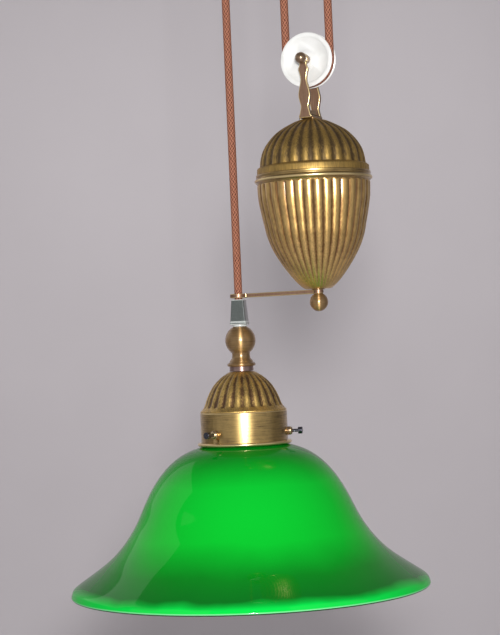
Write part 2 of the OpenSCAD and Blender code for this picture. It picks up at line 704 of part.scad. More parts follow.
ceiling_plate();
canopy();
canopy_bolt();
canopy_ball_nut();
ceiling_fork();
ceiling_fork_stud();
ceiling_fork_nut();
ceiling_axle();
ceiling_axle_nuts();
ceiling_spacers();
ceiling_nipple();
ceiling_nipple_nut();
ceiling_cord_grip();
ceiling_grip_base();
cord_over_ceiling_pulley();
terminal_block();
terminal_screws();
supply_wires();
ceiling_pulley();
ceiling_pulley_bush();
counterweight_fork();
counterweight_axle();
counterweight_axle_nuts();
counterweight_spacers();
counterweight_lid();
counterweight_ring();
counterweight_bowl();
iron_filling();
tie_rod();
tie_rod_nut();
arm_washer();
spacer_arm();
foot_ball_nut();
cord_under_counterweight_pulley();
cord_middle_run();
cord_supply_run();
counterweight_pulley();
counterweight_pulley_bush();
cord_lamp_run();
lamp_cord_grip();
lamp_grip_base();
lamp_tube();
neck_ball();
neck_collar();
lamp_dome();
gallery();
gallery_bosses();
gallery_washer();
gallery_locknut();
lampholder_cap();
lampholder_sleeve();
lampholder_insert();
screw_shell();
centre_contact();
lamp_wires();
glass_shade();
thumb_screw_1();
thumb_screw_2();
thumb_screw_3();
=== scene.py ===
# %% [markdown]
# # A rise and fall pendant
# A glass shade and a ribbed brass counterweight hang from one textile cord. The cord runs over
# two porcelain pulleys, so the lamp can be pulled down and stays where it is left. The solids
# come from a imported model. Here each visible piece gets its final surface and its material.

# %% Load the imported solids
import json
import math

import bmesh
import bpy
import numpy as np
from mathutils import Matrix, Vector

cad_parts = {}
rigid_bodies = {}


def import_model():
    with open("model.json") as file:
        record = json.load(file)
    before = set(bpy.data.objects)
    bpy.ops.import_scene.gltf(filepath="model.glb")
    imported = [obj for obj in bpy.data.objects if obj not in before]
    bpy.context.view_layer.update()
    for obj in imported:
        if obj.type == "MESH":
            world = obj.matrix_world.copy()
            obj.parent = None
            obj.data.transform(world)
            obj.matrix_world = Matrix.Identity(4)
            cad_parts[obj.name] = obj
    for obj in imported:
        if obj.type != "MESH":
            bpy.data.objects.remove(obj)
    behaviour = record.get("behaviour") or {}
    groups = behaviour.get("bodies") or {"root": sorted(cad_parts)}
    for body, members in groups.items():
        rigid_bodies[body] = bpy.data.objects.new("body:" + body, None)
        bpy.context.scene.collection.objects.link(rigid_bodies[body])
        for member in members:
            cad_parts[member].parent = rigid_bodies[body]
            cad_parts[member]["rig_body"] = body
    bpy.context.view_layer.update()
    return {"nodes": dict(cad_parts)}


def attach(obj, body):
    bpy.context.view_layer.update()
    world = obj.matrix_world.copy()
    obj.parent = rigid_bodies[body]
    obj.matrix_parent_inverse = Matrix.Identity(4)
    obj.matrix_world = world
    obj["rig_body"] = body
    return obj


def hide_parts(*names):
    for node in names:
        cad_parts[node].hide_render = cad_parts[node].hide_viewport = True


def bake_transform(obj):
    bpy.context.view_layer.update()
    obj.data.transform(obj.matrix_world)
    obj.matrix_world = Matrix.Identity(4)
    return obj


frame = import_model()
nodes = frame["nodes"]
mm = 0.001

# %% [markdown]
# The sizes that several pieces share are named once. The lamp hangs at one end of the spacer
# arm and the counterweight at the other. Heights are measured up from the ceiling's face.

# %% Shared places and sizes, in millimetres
LAMP_X, MIDDLE_X, WEIGHT_X, SUPPLY_X, PULLEY_X = -56.0, 5.5, 28.0, 50.5, -25.25
PULLEY_Z, WHEEL_Z = -100.0, -400.0
PULLEY_CORD_R, WHEEL_CORD_R, CORD_R = 30.75, 22.5, 3.9
CORD_TOP_Z, CORD_END_Z = -49.1, -641.9
LID_Z, BOWL_Z, DOME_Z, GLASS_Z = -457.0, -518.8, -696.7, -768.4

# %% [markdown]
# The camera stands where the photographer stood: a little to the right of the lamp's front, at
# the height of the gallery, and slightly tilted. A long lens at 1.75 m gives the same mild
# perspective. The places of the pieces in the picture gave the numbers by least squares.

# %% The camera
AZIMUTH, PITCH, ROLL, YAW = 23.46, 1.03, -2.5, -0.34
DISTANCE, CAMERA_Z, FOCAL_PX, FRAME_PX = 1750.0, -676.0, 1786.0, 635.0

azimuth, pitch, roll = map(math.radians, (AZIMUTH, PITCH, ROLL))
heading = azimuth + math.radians(YAW)
forward = Vector((-math.sin(heading) * math.cos(pitch), math.cos(heading) * math.cos(pitch),
                  math.sin(pitch)))
level = forward.cross(Vector((0, 0, 1))).normalized()
upright = level.cross(forward)
right = level * math.cos(roll) + upright * math.sin(roll)
up = upright * math.cos(roll) - level * math.sin(roll)
camera = bpy.data.objects.new("camera", bpy.data.cameras.new("camera"))
bpy.context.scene.collection.objects.link(camera)
camera.matrix_world = Matrix((right, up, -forward)).transposed().to_4x4()
camera.location = Vector((LAMP_X + DISTANCE * math.sin(azimuth), -DISTANCE * math.cos(azimuth),
                          CAMERA_Z)) * mm
camera.data.lens = camera.data.sensor_width * FOCAL_PX / FRAME_PX
camera.data.clip_start, camera.data.clip_end = 0.05, 20
bpy.context.scene.camera = camera
bpy.context.scene.view_settings.view_transform = "Standard"
print("lens", round(camera.data.lens, 1), "mm")

# %% [markdown]
# Two small functions make every material. Colours are written as hex values, as on a paint
# card, and turned into the linear light that the renderer works in. `feed` sets a node's
# inputs, or links them where another node or one of its sockets is given, and `add` makes a
# node and feeds it.

# %% Colour and shader helpers
def paint(code):
    """A hex sRGB colour as linear RGBA."""
    parts = [int(code[i:i + 2], 16) / 255 for i in (1, 3, 5)]
    return tuple(c / 12.92 if c <= 0.04045 else ((c + 0.055) / 1.055) ** 2.4 for c in parts) + (1,)


def feed(node, inputs):
    """Set or link a node's inputs by name or number. Another node gives its first output."""
    for name, value in dict(inputs).items():
        if isinstance(value, bpy.types.Node):
            value = value.outputs[0]
        if isinstance(value, bpy.types.NodeSocket):
            node.id_data.links.new(value, node.inputs[name])
        else:
            node.inputs[name].default_value = value


def add(tree, kind, inputs=(), stops=(), **settings):
    """Add a node, set its settings, feed it, and fill its colour ramp from (place, hex) stops."""
    made = tree.nodes.new(kind)
    for name, value in settings.items():
        setattr(made, name, value)
    feed(made, inputs)
    if stops:
        band = made.color_ramp
        while len(band.elements) < len(stops):
            band.elements.new(0.5)
        for element, (place, code) in zip(band.elements, stops):
            element.position = place
            element.color = paint(code)
    return made


def material(name):
    """An empty material, its node tree, and its principled shader."""
    made = bpy.data.materials.new(name)
    made.use_nodes = True
    tree = made.node_tree
    tree.nodes.clear()
    surface = add(tree, "ShaderNodeBsdfPrincipled")
    add(tree, "ShaderNodeOutputMaterial", {0: surface})
    return made, tree, surface


print("white is", paint("#ffffff"), "and middle grey", round(paint("#808080")[0], 3))

# %% [markdown]
# Most pieces are turned on a lathe or spun over a chuck, so they are surfaces of revolution.
# `smooth` runs a curve through a few measured points, `relax` evens out its small kinks,
# `revolve` turns a closed section into a mesh, and `refine` takes a copy of a solid, merges its
# loose triangles and softens its edges.

# %% Mesh helpers
def smooth(knots, steps):
    """Points on the smooth curve through the knots, with so many steps between two of them."""
    pts = [Vector(p) for p in knots]
    out = []
    for i in range(len(pts) - 1):
        a, b, c, d = pts[max(i - 1, 0)], pts[i], pts[i + 1], pts[min(i + 2, len(pts) - 1)]
        for k in range(steps):
            t = k / steps
            out.append(0.5 * (2 * b + (c - a) * t + (2 * a - 5 * b + 4 * c - d) * t * t
                              + (3 * b - a - 3 * c + d) * t ** 3))
    return out + [pts[-1]]


def relax(line, passes):
    """The line with its small kinks evened out and its ends kept."""
    for _ in range(passes):
        line = [line[0], *((a + 2 * b + c) / 4 for a, b, c in zip(line, line[1:], line[2:])), line[-1]]
    return line


def beside(line, distance):
    """The line moved sideways, to its left, by a distance."""
    out = []
    for i, point in enumerate(line):
        way = (line[min(i + 1, len(line) - 1)] - line[max(i - 1, 0)]).normalized()
        out.append(point + Vector((-way.y, way.x)) * distance)
    return out


def arc(centre, radius, start, end, steps):
    """Points on an arc, with angles in degrees."""
    angles = [math.radians(start + (end - start) * k / steps) for k in range(steps + 1)]
    return [Vector((centre[0] + radius * math.cos(a), centre[1] + radius * math.sin(a)))
            for a in angles]


def new_piece(name, verts, faces):
    """A mesh object of points in millimetres, with its faces turned outwards."""
    mesh = bpy.data.meshes.new(name)
    mesh.from_pydata([tuple(c * mm for c in v) for v in verts], [], faces)
    bm = bmesh.new()
    bm.from_mesh(mesh)
    bmesh.ops.recalc_face_normals(bm, faces=bm.faces)
    bm.to_mesh(mesh)
    bm.free()
    piece = bpy.data.objects.new(name, mesh)
    bpy.context.scene.collection.objects.link(piece)
    return piece


def shade_smooth_by_angle(piece, angle=32):
    """Smooth faces, with sharp edges where the surface turns by more than the angle."""
    piece.data.shade_smooth()
    piece.data.set_sharp_from_angle(angle=math.radians(angle))
    return piece


def revolve(name, section, x=0.0, z=0.0, segments=192):
    """Turn a closed section of (radius, height) about the upright axis through x."""
    n = len(section)
    verts = [(x + p[0] * math.cos(a), p[0] * math.sin(a), z + p[1])
             for a in (2 * math.pi * k / segments for k in range(segments)) for p in section]
    faces = [(k * n + i, ((k + 1) % segments) * n + i,
              ((k + 1) % segments) * n + (i + 1) % n, k * n + (i + 1) % n)
             for k in range(segments) for i in range(n)]
    return new_piece(name, verts, faces)


def refine(node, bevel=0.0, angle=32):
    """A smoothly shaded copy of a solid, with its edges rounded by the bevel in millimetres."""
    piece = bpy.data.objects.new(node + "_finished", nodes[node].data.copy())
    bpy.context.scene.collection.objects.link(piece)
    bm = bmesh.new()
    bm.from_mesh(piece.data)
    bmesh.ops.remove_doubles(bm, verts=bm.verts, dist=1e-6)
    bmesh.ops.dissolve_limit(bm, angle_limit=math.radians(0.5), verts=bm.verts, edges=bm.edges)
    bm.to_mesh(piece.data)
    bm.free()
    shade_smooth_by_angle(piece, angle)
    if bevel:
        rounding = piece.modifiers.new("rounded edges", "BEVEL")
        rounding.width, rounding.segments = bevel * mm, 3
        rounding.limit_method, rounding.angle_limit = "ANGLE", math.radians(angle)
        rounding.harden_normals, rounding.use_clamp_overlap = True, False
    return piece

# %% [markdown]
# Every finished piece stands for one or more solids. It rides on the same body as they do, so
# it moves with them.


def stands_for(piece, *names, finish=None, ride=True):
    """Hide the named solids behind the piece."""
    if finish is not None:
        piece.data.materials.clear()
        piece.data.materials.append(finish)
    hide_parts(*names)
    if ride:
        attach(piece, nodes[names[0]]["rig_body"])
    return piece

# %% [markdown]
# ## The cord
# The cord is a flex in a braided cotton and rayon sleeve. Two tubes make it: one from the
# canopy's grip down round the counterweight's pulley and up again, and one over the ceiling
# pulley and down to the lamp. Each tube is swept along points in one plane. Its UV map runs
# round the cord and along it, so the braid follows the cord's length.

# %% The cord's two tubes
def straight(x, z0, z1, step=8.0):
    """Points down or up a run of cord, without its end."""
    count = max(2, round(abs(z1 - z0) / step))
    return [Vector((x, 0, z0 + (z1 - z0) * k / count)) for k in range(count)]


def round_pulley(x, z, radius, start, end, steps=40):
    """Points round a pulley, with angles in degrees from +X towards +Z."""
    return [Vector((x + radius * math.cos(math.radians(a)), 0, z + radius * math.sin(math.radians(a))))
            for a in (start + (end - start) * k / steps for k in range(steps + 1))]


def sweep(name, path, radius, sides=20):
    """A round tube along a path in the XZ plane, with a UV map in turns and metres."""
    count = len(path)
    along = [0.0]
    for a, b in zip(path, path[1:]):
        along.append(along[-1] + (b - a).length * mm)
    verts = []
    for i, point in enumerate(path):
        way = (path[min(i + 1, count - 1)] - path[max(i - 1, 0)]).normalized()
        out = way.cross(Vector((0, 1, 0)))
        for k in range(sides):
            a = 2 * math.pi * k / sides
            verts.append(point + radius * (math.cos(a) * out + math.sin(a) * Vector((0, 1, 0))))
    faces, turns = [], []
    for i in range(count - 1):
        for k in range(sides):
            j = (k + 1) % sides
            faces.append((i * sides + k, i * sides + j, (i + 1) * sides + j, (i + 1) * sides + k))
            turns.append([(k, i), (k + 1, i), (k + 1, i + 1), (k, i + 1)])
    faces += [tuple(range(sides))[::-1], tuple((count - 1) * sides + k for k in range(sides))]
    mesh = bpy.data.meshes.new(name)
    mesh.from_pydata([tuple(c * mm for c in v) for v in verts], [], faces)
    layer = mesh.uv_layers.new(name="braid")
    for face, corners in zip(mesh.polygons, turns):
        for loop, (k, i) in zip(face.loop_indices, corners):
            layer.data[loop].uv = (k / sides, along[i])
    piece = bpy.data.objects.new(name, mesh)
    bpy.context.scene.collection.objects.link(piece)
    bm = bmesh.new()
    bm.from_mesh(mesh)
    bmesh.ops.recalc_face_normals(bm, faces=bm.faces)
    bm.to_mesh(mesh)
    bm.free()
    return shade_smooth_by_angle(piece, 50), [tuple(c * mm for c in p) for p in path], along[-1]


supply_path = (straight(SUPPLY_X, CORD_TOP_Z, WHEEL_Z)
               + round_pulley(WEIGHT_X, WHEEL_Z, WHEEL_CORD_R, 0, -180)
               + straight(MIDDLE_X, WHEEL_Z, PULLEY_Z)[1:] + [Vector((MIDDLE_X, 0, PULLEY_Z))])
lamp_path = (round_pulley(PULLEY_X, PULLEY_Z, PULLEY_CORD_R, 0, 180)
             + straight(LAMP_X, PULLEY_Z, CORD_END_Z)[1:] + [Vector((LAMP_X, 0, CORD_END_Z))])
supply_cord, supply_line, supply_length = sweep("cord_to_counterweight", supply_path, CORD_R)
lamp_cord, lamp_line, lamp_length = sweep("cord_to_lamp", lamp_path, CORD_R)
print("cord lengths", round(supply_length, 3), round(lamp_length, 3), "m")

# %% [markdown]
# Braided cotton and rayon, dyed reddish brown. Eight strands run round the cord one way and
# eight the other way, each over one and under one. The weave's height is painted into the
# colour: the strand on top of a crossing is painted lighter, a painted highlight, and the gaps
# beside it are painted dark, a painted shade. Loose fibres blur the weave a little. A
# checkerboard of the strands' numbers says which family is on top, so no strand is modelled.

# %% Material: braided cord
STRANDS, LAY_MM = 8, 5.0
FUZZ_PER_METRE = 700.0

cord_braid, tree, surface = material("braided_cotton_red_brown")
uv = add(tree, "ShaderNodeUVMap", uv_map="braid")
turn_and_run = add(tree, "ShaderNodeSeparateXYZ", {0: uv}).outputs
around = add(tree, "ShaderNodeMath", {0: turn_and_run["X"], 1: STRANDS}, operation="MULTIPLY")
along = add(tree, "ShaderNodeMath", {0: turn_and_run["Y"], 1: LAY_MM * mm}, operation="DIVIDE")
rows, bulges = [], []
for hand in ("ADD", "SUBTRACT"):
    family = add(tree, "ShaderNodeMath", {0: around, 1: along}, operation=hand)
    rows.append(add(tree, "ShaderNodeMath", {0: family}, operation="FLOOR"))
    angle = add(tree, "ShaderNodeMath", {0: family, 1: math.pi}, operation="MULTIPLY")
    wave = add(tree, "ShaderNodeMath", {0: angle}, operation="SINE")
    bulges.append(add(tree, "ShaderNodeMath", {0: wave}, operation="ABSOLUTE"))
square = add(tree, "ShaderNodeMath", {0: rows[0], 1: rows[1]}, operation="ADD")
which = add(tree, "ShaderNodeMath", {0: square, 1: 2.0}, operation="FLOORED_MODULO")
on_top = add(tree, "ShaderNodeMix", {"Factor": which, 2: bulges[0], 3: bulges[1]})
place = add(tree, "ShaderNodeTexCoord").outputs["Object"]
fuzz = add(tree, "ShaderNodeTexNoise", {"Vector": place, "Scale": FUZZ_PER_METRE, "Detail": 3.0})
height = add(tree, "ShaderNodeMath", {0: fuzz, 1: 0.7, 2: on_top}, operation="MULTIPLY_ADD")
# The colour follows the weave's height: painted shade in the gaps, painted highlight on the strands on
# top.
painted_weave_shade = add(tree, "ShaderNodeValToRGB", {"Fac": height},
              stops=[(0.3, "#341610"), (0.8, "#64301f"), (1.0, "#b47a62")])
weave = add(tree, "ShaderNodeBump", {"Height": height, "Strength": 0.6, "Distance": 0.35 * mm})
feed(surface, {"Base Color": painted_weave_shade, "Normal": weave, "Roughness": 0.85, "Specular IOR Level": 0.2})
print("a strand goes round once in", STRANDS * LAY_MM, "mm")

# %% [markdown]
# The cord hangs between bodies that move apart. Each tube hides the cord's solids and takes the
# braid, and it rides on no body: its place is kept in its mesh.

# %% Put the cord's tubes in place of its solids
stands_for(supply_cord, "cord_supply_run", "cord_under_counterweight_pulley", "cord_middle_run",
           finish=cord_braid, ride=False)
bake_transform(supply_cord)
stands_for(lamp_cord, "cord_lamp_run", "cord_over_ceiling_pulley", finish=cord_braid, ride=False)
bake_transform(lamp_cord)

# %% [markdown]
# ## The metals
# All the brass is the same alloy. What differs is how each piece was made and how the dark
# patina was rubbed back: spun bands have fine turning lines, pressed ribs are bright on their
# crests and dark in their grooves, and the cast straps are coppery. A clear lacquer lies over
# most of it and puts a pale highlight on top of the metal's own yellow one. Edges that hands
# and cloths reach are rubbed almost bare, and their paler brass is also a painted highlight for
# the line of light that such edges catch. So one function makes the brass, and each call gives
# it its own colours, roughness, lines, patina and lacquer.

# %% Material: brasses
PATCHES_PER_METRE, LACQUER_ROUGHNESS = 60.0, 0.22
ROUND, UPRIGHT = (0.03, 0.03, 1), (1, 1, 0.04)


def brass(name, light, dark, lines, roughness, patina, grooves=0.0, turned=0.0, film=0.8, lacquer=0.0):
    """Aged brass. lines gives the fine lines' stretch, their spacing and their depth in mm.

    patina is how far the tone varies, grooves how dark the pressed grooves are, turned how far
    the lathe's lines draw a highlight out along the axis, film how metallic the darkest patina
    still is, and lacquer the weight of the clear coat.
    """
    stretch, line_mm, depth_mm = lines
    made, tree, surface = material(name)
    place = add(tree, "ShaderNodeTexCoord").outputs["Object"]
    clouds = add(tree, "ShaderNodeTexNoise", {"Vector": place, "Scale": PATCHES_PER_METRE,
                                              "Detail": 6.0, "Roughness": 0.65})
    drawn = add(tree, "ShaderNodeMapping", {"Vector": place, "Scale": stretch})
    brushed = add(tree, "ShaderNodeTexNoise", {"Vector": drawn, "Scale": 1 / (line_mm * mm),
                                               "Detail": 2.0})
    both = add(tree, "ShaderNodeMath", {0: brushed, 1: clouds}, operation="ADD")
    tone = add(tree, "ShaderNodeMapRange", {"Value": both, "From Min": 0.7, "From Max": 1.3,
                                            "To Min": 0.5 - patina / 2, "To Max": 0.5 + patina / 2})
    if grooves:
        groove = add(tree, "ShaderNodeAttribute", attribute_name="groove").outputs["Fac"]
        deep = add(tree, "ShaderNodeMapRange", {"Value": groove, "From Min": 0.15, "From Max": 0.9,
                                                "To Max": grooves})
        tone = add(tree, "ShaderNodeMath", {0: tone, 1: deep}, operation="SUBTRACT", use_clamp=True)
    colour = add(tree, "ShaderNodeValToRGB", {"Fac": tone}, stops=[(0.0, dark), (0.7, light)])
    grain = add(tree, "ShaderNodeBump", {"Height": brushed, "Strength": 0.3,
                                         "Distance": depth_mm * mm})
    shine = add(tree, "ShaderNodeMapRange", {"Value": tone, "To Min": roughness + 0.1,
                                             "To Max": roughness})
    bare = add(tree, "ShaderNodeMapRange", {"Value": tone, "To Min": film, "To Max": 1.0})
    feed(surface, {"Base Color": colour, "Normal": grain, "Roughness": shine, "Metallic": bare,
                   "Coat Weight": lacquer, "Coat Roughness": LACQUER_ROUGHNESS, "Coat Normal": grain})
    if turned:
        axis = add(tree, "ShaderNodeCombineXYZ", {"Z": 1.0})
        feed(surface, {"Anisotropic": turned, "Tangent": axis})
    return made


PRESSED, CAST = (UPRIGHT, 0.8, 0.1), (UPRIGHT, 1.2, 0.1)
SPUN, TURNED = (ROUND, 0.6, 0.15), (ROUND, 0.5, 0.15)
FINE_TURNED, BURNISHED = (ROUND, 0.5, 0.1), (ROUND, 0.5, 0.05)
bowl_brass = brass("pressed_brass_polished_crests", "#f4ca7c", "#7c5628", PRESSED,
                   roughness=0.32, patina=0.5, grooves=0.55, lacquer=1.0)
lid_brass = brass("pressed_brass_dark_patina", "#c8a45c", "#5c4a30", PRESSED,
                  roughness=0.46, patina=0.6, grooves=0.5, film=0.75, lacquer=0.1)
dome_brass = brass("pressed_brass_antique", "#f2cc78", "#684c34", PRESSED,
                   roughness=0.42, patina=0.7, grooves=0.5, film=0.9, lacquer=0.4)
band_brass = brass("spun_brass_brushed_band", "#c8a868", "#725a38", SPUN,
                   roughness=0.32, patina=0.9, turned=0.3, film=0.9, lacquer=0.7)
turned_brass = brass("turned_brass_antique", "#c49e68", "#7a5a38", TURNED,
                     roughness=0.42, patina=0.6, turned=0.9, film=0.75, lacquer=1.0)
nut_brass = brass("turned_brass_dark_nuts", "#a88c70", "#6a5442", FINE_TURNED,
                  roughness=0.26, patina=0.5, film=0.6, lacquer=0.5)
cast_brass = brass("cast_brass_coppery", "#a4826a", "#6c4e3a", CAST,
                   roughness=0.38, patina=0.6, lacquer=0.3)
plain_brass = brass("spun_brass_aged_canopy", "#b8914e", "#7c5c2a", SPUN,
                    roughness=0.34, patina=0.5, turned=0.4, lacquer=0.4)
collar_brass = brass("turned_brass_satin_collar", "#b0928a", "#6a564e", TURNED,
                     roughness=0.32, patina=0.5, turned=0.6, lacquer=0.8)
# Paler brass for handled and rolled edges: partly real wear, partly a painted highlight for the line of
# light those edges catch.
edge_brass_worn_and_highlit = brass("brass_edges_worn_and_painted_highlight", "#f4dca2", "#dcbc80", BURNISHED,
                     roughness=0.24, patina=0.4, lacquer=0.4)
print("patches of", round(1000 / PATCHES_PER_METRE), "mm on every brass")

# %% [markdown]
# Bright zinc-plated steel for the hidden fasteners, and darker nickel plate on the gallery's
# screws. Plating gives an even, cool metal with little variation, so its noise mostly moves the
# roughness. The filling is rough cast iron, which is the same recipe with a duller finish.

# %% Material: plated steel, nickel and cast iron
def plated(name, colours, roughness, grain_mm):
    made, tree, surface = material(name)
    place = add(tree, "ShaderNodeTexCoord").outputs["Object"]
    spots = add(tree, "ShaderNodeTexNoise", {"Vector": place, "Scale": 1 / (grain_mm * mm),
                                             "Detail": 4.0})
    colour = add(tree, "ShaderNodeValToRGB", {"Fac": spots},
                 stops=[(0.3, colours[0]), (0.7, colours[1])])
    dull = add(tree, "ShaderNodeMapRange", {"Value": spots, "To Min": roughness,
                                            "To Max": roughness + 0.2})
    pits = add(tree, "ShaderNodeBump", {"Height": spots, "Strength": 0.2, "Distance": 0.1 * mm})
    feed(surface, {"Base Color": colour, "Roughness": dull, "Normal": pits, "Metallic": 1.0})
    return made


zinc_steel = plated("zinc_plated_steel", ("#a6a8a8", "#c6c8c6"), 0.25, 2.0)
nickel = plated("nickel_plated_steel", ("#4c4c54", "#70707a"), 0.2, 1.0)
cast_iron = plated("sand_cast_iron", ("#2e2d2c", "#4a4947"), 0.55, 1.5)
print("plated and cast:", zinc_steel.name, nickel.name, cast_iron.name)

# %% [markdown]
# Glazed porcelain is a white body under a clear, glassy glaze. The glaze gives it a sharp
# highlight, and the body underneath makes it softly white, with a faint warm cloudiness. The
# lampholder's steatite has no glaze. The cord grips are moulded nylon, glossy and grey-green.
# Their rounded edges and the grip bases get a near-white nylon that is a painted highlight, the
# line of light that these flat faces catch. Clouds, a fine grain and a clear coat make all of these.

# %% Material: porcelain and plastics
def moulded(name, colours, roughness, grain_mm, bump_mm, coat=0.0):
    made, tree, surface = material(name)
    place = add(tree, "ShaderNodeTexCoord").outputs["Object"]
    clouds = add(tree, "ShaderNodeTexNoise", {"Vector": place, "Scale": 1 / (grain_mm * mm),
                                              "Detail": 4.0})
    colour = add(tree, "ShaderNodeValToRGB", {"Fac": clouds},
                 stops=[(0.3, colours[0]), (0.7, colours[1])])
    grain = add(tree, "ShaderNodeBump", {"Height": clouds, "Strength": 0.2,
                                         "Distance": bump_mm * mm})
    feed(surface, {"Base Color": colour, "Normal": grain, "Roughness": roughness,
                   "Coat Weight": coat, "Coat Roughness": 0.08})
    return made


porcelain = moulded("glazed_white_porcelain", ("#ecece8", "#f6f6f3"), 0.35, 14.0, 0.1, coat=0.8)
steatite = moulded("unglazed_steatite_ceramic", ("#d8d3c6", "#e8e4d8"), 0.6, 3.0, 0.1)
grip_nylon = moulded("moulded_nylon_grey_green", ("#3e4442", "#5a605d"), 0.3, 0.8, 0.05, coat=0.8)
# Near-white nylon: a painted highlight on the grips' bevels and all over the grip bases.
nylon_painted_highlight = moulded("moulded_nylon_painted_highlight", ("#c4cac6", "#e0e4e0"), 0.25, 0.8, 0.05, coat=0.6)
white_nylon = moulded("moulded_nylon_white", ("#d8d6ce", "#e6e4dd"), 0.45, 1.0, 0.05)
core_pvc = moulded("extruded_pvc_core", ("#6b3a1c", "#7d4826"), 0.4, 1.0, 0.05)
print(len(bpy.data.materials), "materials so far")

# %% [markdown]
# Cased glass is two layers blown together: opal white inside and a clear green skin outside.
# The green skin is glossy and saturated, and the light that enters the white layer evens it
# out. Two materials on one mesh give the two sides. The green darkens and pales with height,
# which is painted light and shade: paler on the rim band and the body, which face the flash,
# and darker on the skirt and the shoulder, which face up away from it. At the rim it ends in a
# pale line of painted highlight and, under it, a dark line of painted shade.

# %% Material: cased glass
GLASS_FOOT_Z, GLASS_HEAD_Z = -910, -770
SWIRLS_PER_METRE = 18.0
# Two rim lines: a pale line that is a painted highlight along the edge, and under it a dark line of
# painted shade.
RIM_PAINTED_HIGHLIGHT_AND_SHADE = ((-907.9, -907.3, "#7ce89a"), (-909.0, -908.4, "#064a12"))


def glass_layer(name, stops, lines=()):
    """Glossy glass whose colour by height paints its light and shade. Each painted line is full at its
    first height, gone at its second.
    """
    made, tree, surface = material(name)
    place = add(tree, "ShaderNodeTexCoord").outputs["Object"]
    height = add(tree, "ShaderNodeSeparateXYZ", {0: place}).outputs["Z"]
    share = add(tree, "ShaderNodeMapRange", {"Value": height, "From Min": GLASS_FOOT_Z * mm,
                                             "From Max": GLASS_HEAD_Z * mm})
    swirl = add(tree, "ShaderNodeTexNoise", {"Vector": place, "Scale": SWIRLS_PER_METRE, "Detail": 2.0})
    moved = add(tree, "ShaderNodeMath", {0: swirl, 1: 0.08, 2: share}, operation="MULTIPLY_ADD")
    colour = add(tree, "ShaderNodeValToRGB", {"Fac": moved}, stops=stops).outputs["Color"]
    for full, none, code in lines:
        height_mm = add(tree, "ShaderNodeMath", {0: height, 1: 1 / mm}, operation="MULTIPLY")
        near = add(tree, "ShaderNodeMapRange", {"Value": height_mm, "From Min": full, "From Max": none,
                                                "To Min": 1.0, "To Max": 0.0})
        colour = add(tree, "ShaderNodeMix", {"Factor": near, 6: colour, 7: paint(code)},
                     data_type="RGBA").outputs[2]
    ripple = add(tree, "ShaderNodeBump", {"Height": swirl, "Strength": 0.02, "Distance": 1.0 * mm})
    feed(surface, {"Base Color": colour, "Roughness": 0.4, "Specular IOR Level": 0.0,
                   "Coat Weight": 0.7, "Coat Roughness": 0.04, "Coat Normal": ripple})
    return made


# Stops by height: painted light on the rim band and the body, painted shade on the skirt and near the
# shoulder.
green_glass = glass_layer("cased_glass_green_skin",
                          [(0.08, "#02da48"), (0.13, "#02781c"), (0.24, "#028a1c"), (0.45, "#02c42c"),
                           (0.8, "#02c22e"), (1.0, "#028c1c")], RIM_PAINTED_HIGHLIGHT_AND_SHADE)
opal_glass = glass_layer("cased_glass_opal_inside", [(0.0, "#e2eee2"), (1.0, "#f2f2ec")])
print("glass from", GLASS_FOOT_Z, "to", GLASS_HEAD_Z, "mm")

# %% [markdown]
# ## The shade
# A bell blown into a mould: a neck with a lip for the screws, round shoulders, and a flared
# skirt that ends in a rounded edge. A dozen measured points give its outer line, and small
# kinks in it are evened out, because a glossy wall shows each one in its reflections. The inner
# line is the same curve moved in by the thickness of the glass, and turning both about the axis
# gives the shell.

# %% The glass shade
GLASS_T, NECK_R, LIP_R, MOUTH_R = 4.0, 37.6, 40.0, 175.0
EDGE_STEPS, GREEN_EDGE_STEPS = 12, 8
bell = relax(smooth([(LIP_R, 0), (60.1, -6.6), (77, -19.2), (90.2, -35.8), (100.4, -54.4),
                     (109.2, -73.7), (120.8, -91.4), (135.1, -107), (152.2, -119.6), (170.1, -131.5),
                     (173.6, -135), (MOUTH_R, -139.4)], 14), 50)
neck = [Vector(p) for p in ((NECK_R - GLASS_T, 22), (NECK_R - GLASS_T + 0.8, 22.8), (LIP_R - 1, 22.8),
                            (LIP_R, 22), (LIP_R, 14.2), (LIP_R - 0.6, 13.6), (NECK_R, 13.6),
                            (NECK_R, 5.8), (LIP_R - 0.6, 3.6))]
edge = arc((MOUTH_R - GLASS_T / 2, -139.6), GLASS_T / 2, 0, -180, EDGE_STEPS)
inside = beside(bell, -GLASS_T)[6:-6][::-1]
section = neck + bell + edge + inside + [Vector((NECK_R - GLASS_T, -3.4))]
shade_glass = revolve("shade_of_cased_glass", section, LAMP_X, GLASS_Z, 256)
shade_glass.data.materials.append(green_glass)
shade_glass.data.materials.append(opal_glass)
first_inside = len(neck) + len(bell) + GREEN_EDGE_STEPS
for index, face in enumerate(shade_glass.data.polygons):
    face.material_index = 1 if index % len(section) >= first_inside else 0
stands_for(shade_smooth_by_angle(shade_glass, 50), "glass_shade")
print("shade faces", len(shade_glass.data.polygons))

# %% [markdown]
# ## The ribbed brass
# The lid, the bowl and the lamp's dome were pressed in ribbed dies. Their ribs follow one rule:
# crests that meet in grooves, the same number at every height, fading out where the shell is
# plain. A Geometry Nodes tree states this rule once. It pushes each point of a plain turned
# shell inwards by its share of the groove depth, and keeps that share as an attribute that
# darkens the grooves. A crest power under 1 gives broad round crests, as on the bowl, and one
# over 1 gives narrow crests between wide grooves, as on the lid and the dome.

